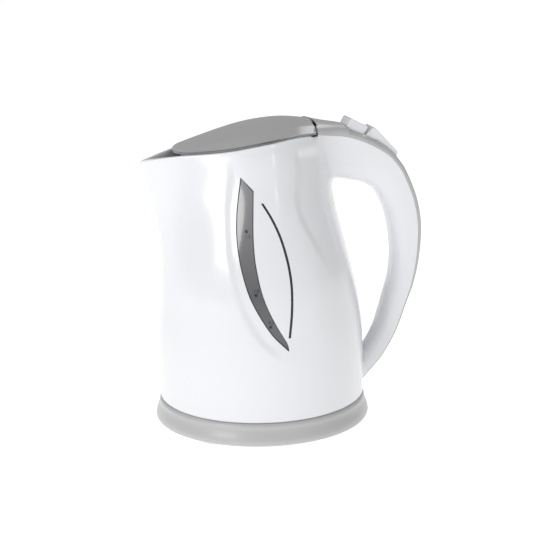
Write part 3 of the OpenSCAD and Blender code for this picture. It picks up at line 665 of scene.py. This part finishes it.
valley = [e for e in bm.edges if in_valley(e)]
tree = KDTree(len(valley))
for i, e in enumerate(valley):
    tree.insert((e.verts[0].co + e.verts[1].co) / 2, i)
tree.balance()


def relax(reach, times):
    """Relaxes the corners within reach of the valley, but not those near the grey border."""
    near = []
    for v in bm.verts:
        if v.co.x < BEHIND or any(e.is_manifold and e.calc_face_angle_signed(0) > BORDER_ANGLE
                                  for e in v.link_edges):
            continue
        if tree.find(v.co)[2] < reach:
            near.append(v)
    for _ in range(times):
        bmesh.ops.smooth_vert(bm, verts=near, factor=0.5, use_axis_x=True, use_axis_y=True,
                              use_axis_z=True)
    return len(near)


relaxed = relax(15, 30) + relax(9, 20)
white = finished(bm, "white_shell")
placed(white, "kettle", "white_shell", "jug_body", "handle_grip")
print("relaxed", relaxed, "corners along", len(valley), "valley edges")

# %% [markdown]
# ## Windows and accent strips
# Smoked panels let the water level be read from both sides. They sit a little under the jug's
# face, so their border catches a thin shadow, and a narrow black rim lies round each. The rim is
# the panel's own outline with a smaller one cut out of it.

# %% Windows
RIM_W = 0.5
for side, name in ((-1, "left"), (1, "right")):
    glass = panel(window_place, side, 0.5, 1.7, "window_panel_" + name)
    placed(glass, "kettle", "smoke_window", "water_window_" + name)
    rim = boolean(panel(window_place, side, 0.4, 0.3, "window_rim_" + name),
                  panel(lambda u, v: window_place(u, v, -RIM_W), side, 0.1, 1.2, "opening"))
    rim.data.materials.clear()
    rim.data.materials.append(TINTS["black_plastic"])
    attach(rim, "kettle")
    print(rim.name, len(rim.data.polygons), "faces")
    strip = panel(accent_place, side, 0.1, 1.0, "accent_inlay_" + name, 4, 60)
    placed(strip, "kettle", "black_plastic", "accent_strip_" + name)

# %% [markdown]
# ## Handle cover
# The grey back of the handle is a second moulding: raised behind the lid, then a step down to a
# strip that runs to the foot. It is hollow over the switch, with openings for the two keys.

# %% Handle cover
KEY_Z, BUTTON_X, KEY_HALF = JUG_Z + JUG_H, JUG_R - 10.5, 9.0
HINGE_Z = [j for j in frame["joints"] if j["name"] == "lid_hinge"][0]["pos_m"][2] / MM
NOTCH_HALF, NOTCH_R = 7.9, 3.4
TAPER_FROM, TAPER_TO = 3.3, 1.3
SWITCH_AT = 5
tilt = math.radians(smooth(PATH, SWITCH_AT, 3))
switch_place = Matrix.Translation(on_path(SWITCH_AT, 0, 0)) @ Matrix.Rotation(tilt, 4, "Y")
button_place = Matrix.Translation((BUTTON_X, 0, KEY_Z))


def rod(radius, half, x, z, name="rod"):
    bm = bmesh.new()
    bmesh.ops.create_cone(bm, cap_ends=True, segments=48, radius1=radius, radius2=radius,
                          depth=2 * half)
    bmesh.ops.rotate(bm, matrix=Matrix.Rotation(math.pi / 2, 3, "X"), verts=bm.verts)
    bmesh.ops.translate(bm, vec=(x, 0, z), verts=bm.verts)
    return finished(bm, name)


def taper(side):
    """Hollow for the lid's rear edge, from the hinge notch to the side of the lid."""
    length = 0.82 * PATH[0][4] - NOTCH_HALF
    bm = bmesh.new()
    bmesh.ops.create_cone(bm, cap_ends=True, segments=48, radius1=TAPER_FROM,
                          radius2=TAPER_TO, depth=length)
    bmesh.ops.rotate(bm, matrix=Matrix.Rotation(-side * math.pi / 2, 3, "X"), verts=bm.verts)
    bmesh.ops.translate(bm, vec=(SEAM, side * (NOTCH_HALF - 0.01 + length / 2), HINGE_Z),
                        verts=bm.verts)
    return finished(bm, "taper")


grey = boolean(cover(0, 16, 0, CLEAR), cover(0.3, 6, SKIN, -1))
grey = boolean(grey, rod(NOTCH_R, NOTCH_HALF, SEAM, HINGE_Z))
for side in (-1, 1):
    grey = boolean(grey, taper(side))
grey = boolean(grey, block((SEAM - 1, -NOTCH_HALF, HINGE_Z - 14), (SEAM + 5, NOTCH_HALF, HINGE_Z)))
grey = boolean(grey, block((-GAP, -KEY_HALF - GAP, -14), (17 + GAP, KEY_HALF + GAP, 12),
                           button_place))
grey = boolean(grey, block((-19.6, -KEY_HALF - GAP, -8), (11, KEY_HALF + GAP, 16), switch_place))
grey.name = "grey_cover"
placed(grey, "kettle", "grey_shell", "handle_cover")

# %% [markdown]
# ## Lid
# The lid is a long leaf. Its section has a flat band at the edge, a crease, and a low dome, and it
# grows from thin at the nose to full height at the hinge.

# %% Lid
NOSE = -JUG_R - SPOUT + 24
LID_EDGE, BARREL_R, BARREL_HALF = 1.6, 3, 7.6
CREASE, CREASE_DROP = 0.74, 0.43  # where the dome ends and the band starts, and its fall so far


def dome(s):
    """Height of the lid's section as a share of its rise, s from 0 in the middle to 1 outside."""
    if s < CREASE:
        return 1 - CREASE_DROP * (s / CREASE) ** 2
    return 0.57 - 0.57 * (s - CREASE) / 0.26


def lid_point(u, v):
    t = v
    run = (t * t / 0.6 if t < 0.3 else t - 0.15) / 0.85
    x = NOSE + 0.05 + (SEAM - GAP - NOSE - 0.05) * run
    corner = min(max((NOSE + 9 - x) / 9, 0), 1)
    half = max(half_width(x, 1) * math.sqrt(max(1 - corner ** 2, 0)), 0.3)
    low = rim_z(x) + GAP
    rise = LID_RISE * (0.26 + 0.74 * ramp(NOSE - 12, NOSE + 40, x)) - LID_EDGE - GAP
    s = -1 + 4 * u if u <= 0.5 else 3 - 4 * u
    top = rise * dome(abs(s)) + LID_EDGE
    return Vector((x, s * half, low + (max(top - SKIN, 0) if u <= 0.5 else top)))


lid = finished(skin(lid_point, 120, 90), "lid_shell", 24)
lid = boolean(lid, rod(BARREL_R, BARREL_HALF, SEAM, HINGE_Z))
placed(lid, "lid", "lid_grey", "lid_cover")

# %% [markdown]
# ## Keys
# The lid button and the power switch are small white caps, extruded from a side view and softened
# with a bevel. A pocket underneath leaves room for the lever and the pin.

# %% Keys
BUTTON_SIDE = [[0, -7], [0, 2.5], [3, 8.2], [4.4, 8.7], [15.4, 2.9], [16.2, 1.6], [13.2, -2.5],
               [11.5, -7]]
SWITCH_SIDE = [[-15.5, -2.5], [-18.7, 2.3], [-16.8, 10.4], [-15.4, 11.1], [9.2, 6.1],
               [9.8, 5.2], [9.8, -2.5]]


def key(side_view, place, name):
    bm = bmesh.new()
    face = bm.faces.new([bm.verts.new((x, -KEY_HALF, z)) for x, z in side_view])
    made = bmesh.ops.extrude_face_region(bm, geom=[face])["geom"]
    bmesh.ops.translate(bm, vec=(0, 2 * KEY_HALF, 0),
                        verts=[g for g in made if isinstance(g, bmesh.types.BMVert)])
    bmesh.ops.recalc_face_normals(bm, faces=bm.faces)
    edges = [e for e in bm.edges if min(v.co.z for v in e.verts) > -2]
    bmesh.ops.bevel(bm, geom=edges, offset=0.55, segments=3, affect="EDGES", profile=0.5,
                    material=-1)
    bmesh.ops.transform(bm, matrix=place, verts=bm.verts)
    return finished(bm, name)


LEVER_TOP = JUG_Z + 0.925 * JUG_H + 9 + 2.4
button = key(BUTTON_SIDE, button_place, "button_cap")
pocket = block((1.6, -KEY_HALF + 1.6, -20), (11.6, KEY_HALF - 1.6, 1), button_place)
stem = block((6, -2, LEVER_TOP + 0.3 - KEY_Z), (10, 2, 3), button_place)
button = boolean(button, boolean(pocket, stem))
button = boolean(button, block((-1, -3.3, -20), (3, 3.3, 1.4 + LEVER_TOP - KEY_Z), button_place))
placed(button, "lid_button", "white_shell", "lid_button")

switch = key(SWITCH_SIDE, switch_place, "switch_cap")
for low_x, high_x, top in ((-16.5, -7.5, 5), (0, 8, 3.5)):
    switch = boolean(switch, block((low_x, -KEY_HALF + 1.6, -6), (high_x, KEY_HALF - 1.6, top),
                                   switch_place))
pin = rod(1.05, 15, 0, 0, "pin_hole")
pin.data.transform(Matrix.Scale(1 / MM, 4))
pin.data.transform(switch_place @ Matrix.Translation((-4, 0, 1)))
pin.data.transform(Matrix.Scale(MM, 4))
switch = boolean(switch, pin)
placed(switch, "power_switch", "white_shell", "power_switch")

# %% [markdown]
# ## Power base
# The base is round, so its section is spun once round the axis. The deck's edge and the skirt's
# foot are rounded, and a shallow well is sunk round the tower in the middle of the deck.

# %% Power base
low, high = span("base_housing")
BASE_R, BASE_H, FOOT, TOWER_R, BASE_WALL = high.x, high.z, low.z, 16, 2.2
TOP_R, ROUND, GLAND_R = JUG_R + 1, 3, 4.1
SPIN_STEPS = 160


def spun(profile, name):
    bm = bmesh.new()
    verts = [bm.verts.new((r, 0, z)) for r, z in profile]
    edges = [bm.edges.new((a, b)) for a, b in zip(verts, verts[1:] + verts[:1])]
    bmesh.ops.spin(bm, geom=verts + edges, cent=(0, 0, 0), axis=(0, 0, 1),
                   angle=2 * math.pi, steps=SPIN_STEPS, use_merge=True)
    bmesh.ops.remove_doubles(bm, verts=bm.verts, dist=MERGE)
    bmesh.ops.recalc_face_normals(bm, faces=bm.faces)
    return finished(bm, name)


arc = [(TOP_R - ROUND + ROUND * math.cos(math.radians(a)),
        BASE_H - ROUND + ROUND * math.sin(math.radians(a))) for a in range(90, -1, -9)]
skirt = [(TOP_R + (BASE_R - TOP_R) * ramp(0, 1, i / 8), BASE_H - ROUND + (FOOT + 2.2 - BASE_H
          + ROUND) * i / 8) for i in range(1, 9)]
housing = spun([(TOWER_R + 0.3, BASE_H - BASE_WALL), (TOWER_R + 0.3, BASE_H - 1),
                (TOWER_R + 4, BASE_H - 1), (TOWER_R + 5, BASE_H)] + arc + skirt
               + [(BASE_R - 0.2, FOOT + 1.2), (BASE_R - 0.8, FOOT + 0.4), (BASE_R - 2, FOOT),
                  (BASE_R - 2 - BASE_WALL, FOOT), (BASE_R - 2 - BASE_WALL, FOOT + 2.5),
                  (TOP_R - BASE_WALL, BASE_H - ROUND), (TOP_R - ROUND, BASE_H - BASE_WALL)],
               "base_shell")
low, high = span("cord_grommet")
gland = rod(GLAND_R, 10, 0, (low.z + high.z) / 2)
gland.data.transform(Matrix.Translation((0, (BASE_R - 2) * MM, 0)))
housing = boolean(housing, gland)
placed(housing, "base", "grey_shell", "base_housing")

# %% [markdown]
# ## Gauge marks
# Three printed dots with generic litre numbers stand on the window. The numbers are text made into
# a mesh and pressed on to the panel's face.

# %% Gauge marks
# What each mark says, its x and height, and how far its number stands over the dot
MARKS = [("1.7", -22.1, 152, -4.6), ("1.0", -19.1, 109.3, 2), ("0.5", -10.4, 87.1, 2)]
INK, DOT_R, NUMBER_SIZE = 0.16, 1.1, 3.0


def on_window(obj, x, z, side):
    """Presses a flat mesh, drawn in x and z about its own zero, on to the window panel."""
    for v in obj.data.vertices:
        px, pz = x + v.co.x, z + v.co.z
        depth = 0.5 - (INK if v.co.y < 0 else -0.05)
        v.co = Vector((px, side * (face_y(px, pz) - depth), pz)) * MM
    bm = bmesh.new()
    bm.from_mesh(obj.data)
    bmesh.ops.recalc_face_normals(bm, faces=bm.faces)
    bm.to_mesh(obj.data)
    bm.free()


marks = []
for side in (-1, 1):
    for words, x, z, lift in MARKS:
        text = bpy.data.curves.new("mark", "FONT")
        text.body, text.size, text.extrude = words, NUMBER_SIZE, 0.1
        text.align_x = "CENTER"
        source = bpy.data.objects.new("mark", text)
        bpy.context.collection.objects.link(source)
        shown = bpy.context.evaluated_depsgraph_get()
        mesh = bpy.data.meshes.new_from_object(source.evaluated_get(shown))
        bpy.data.objects.remove(source)
        mesh.transform(Matrix.Scale(-side, 4, (1, 0, 0)) @ Matrix.Rotation(math.pi / 2, 4, "X"))
        number = bpy.data.objects.new("mark", mesh)
        bpy.context.collection.objects.link(number)
        on_window(number, x + 0.4, z + lift, side)
        dot_mesh = bmesh.new()
        bmesh.ops.create_cone(dot_mesh, cap_ends=True, segments=20, radius1=DOT_R,
                              radius2=DOT_R, depth=0.2)
        bmesh.ops.rotate(dot_mesh, matrix=Matrix.Rotation(math.pi / 2, 3, "X"),
                         verts=dot_mesh.verts)
        dot = bpy.data.meshes.new("dot")
        dot_mesh.to_mesh(dot)
        dot_mesh.free()
        dot = bpy.data.objects.new("dot", dot)
        bpy.context.collection.objects.link(dot)
        on_window(dot, x, z, side)
        marks += [number, dot]
joined = bmesh.new()
for piece in marks:
    joined.from_mesh(piece.data)
    bpy.data.objects.remove(piece)
bmesh.ops.scale(joined, vec=(1 / MM,) * 3, verts=joined.verts)
gauge = finished(joined, "gauge_marks")
gauge.data.materials.append(TINTS["black_plastic"])
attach(gauge, "kettle")
print("gauge marks", len(MARKS), "on each side")

# %% [markdown]
# ## Floor, light and camera
# A seamless white floor and big soft lights suit white plastic: the shape is read from broad, weak
# reflections. The camera stands low in front of the spout side and is aimed a little above and to
# one side of the base's centre, so that the kettle sits low and left of the middle of the frame.

# %% Stage
PAPER_GLOW, SKY = 0.62, 0.42  # the floor is lit a little from behind, so that it stays white
floor_mesh = bmesh.new()
bmesh.ops.create_grid(floor_mesh, x_segments=1, y_segments=1, size=4000)
floor = finished(floor_mesh, "floor")
paper = finish("paper", (0.93, 0.93, 0.93), 0.8, drift=0.004, grain=0.0, wear=0.0)
lit = paper.node_tree.nodes["Principled BSDF"]
lit.inputs["Emission Color"].default_value = (1, 1, 1, 1)
lit.inputs["Emission Strength"].default_value = PAPER_GLOW
floor.data.materials.append(paper)

world = bpy.data.worlds.new("studio")
world.use_nodes = True
world.node_tree.nodes["Background"].inputs["Color"].default_value = (1, 1, 1, 1)
world.node_tree.nodes["Background"].inputs["Strength"].default_value = SKY
scene = bpy.context.scene
scene.world = world
scene.view_settings.view_transform = "Standard"


def soft_light(name, place, aim, size, watts):
    """Square area light at a place in metres, aimed at a point."""
    data = bpy.data.lights.new(name, "AREA")
    data.shape, data.size, data.energy = "SQUARE", size, watts
    light = bpy.data.objects.new(name, data)
    light.location = place
    light.rotation_mode = "QUATERNION"
    light.rotation_quaternion = (Vector(aim) - Vector(place)).to_track_quat("-Z", "Y")
    bpy.context.collection.objects.link(light)


soft_light("key", (-1.3, -0.9, 0.8), (0, 0, 0.1), 0.7, 9.5)
soft_light("strip", (0.25, -1.3, 0.9), (0.03, 0, 0.13), 0.28, 1.2)
soft_light("rim", (0.9, 0.8, 0.9), (0, 0, 0.12), 0.6, 3)

AZIMUTH, ELEVATION, ROLL = math.radians(-14), math.radians(19.5), math.radians(1.2)
DISTANCE = 1.2
back = Vector((math.sin(AZIMUTH) * math.cos(ELEVATION), -math.cos(AZIMUTH) * math.cos(ELEVATION),
               math.sin(ELEVATION)))
right = Vector((math.cos(AZIMUTH), math.sin(AZIMUTH), 0))
up = back.cross(right)
tilted_right = right * math.cos(ROLL) - up * math.sin(ROLL)
tilted_up = up * math.cos(ROLL) + right * math.sin(ROLL)
AIM_RIGHT, AIM_UP = 13.2 * MM, 99.2 * MM
camera_data = bpy.data.cameras.new("camera")
camera_data.lens, camera_data.sensor_width = 103.2, 36
camera = bpy.data.objects.new("camera", camera_data)
camera.location = back * DISTANCE
aim = tilted_right * AIM_RIGHT + tilted_up * AIM_UP
looking = (camera.location - aim).normalized()
level = (tilted_right - looking * tilted_right.dot(looking)).normalized()
upright = looking.cross(level)
camera.rotation_mode = "QUATERNION"
turn = Matrix((level, upright, looking)).transposed()
camera.rotation_quaternion = turn.to_quaternion()
bpy.context.collection.objects.link(camera)
scene.camera = camera
print("camera", round(camera.location.length, 3), "m from the base, lens", camera_data.lens)
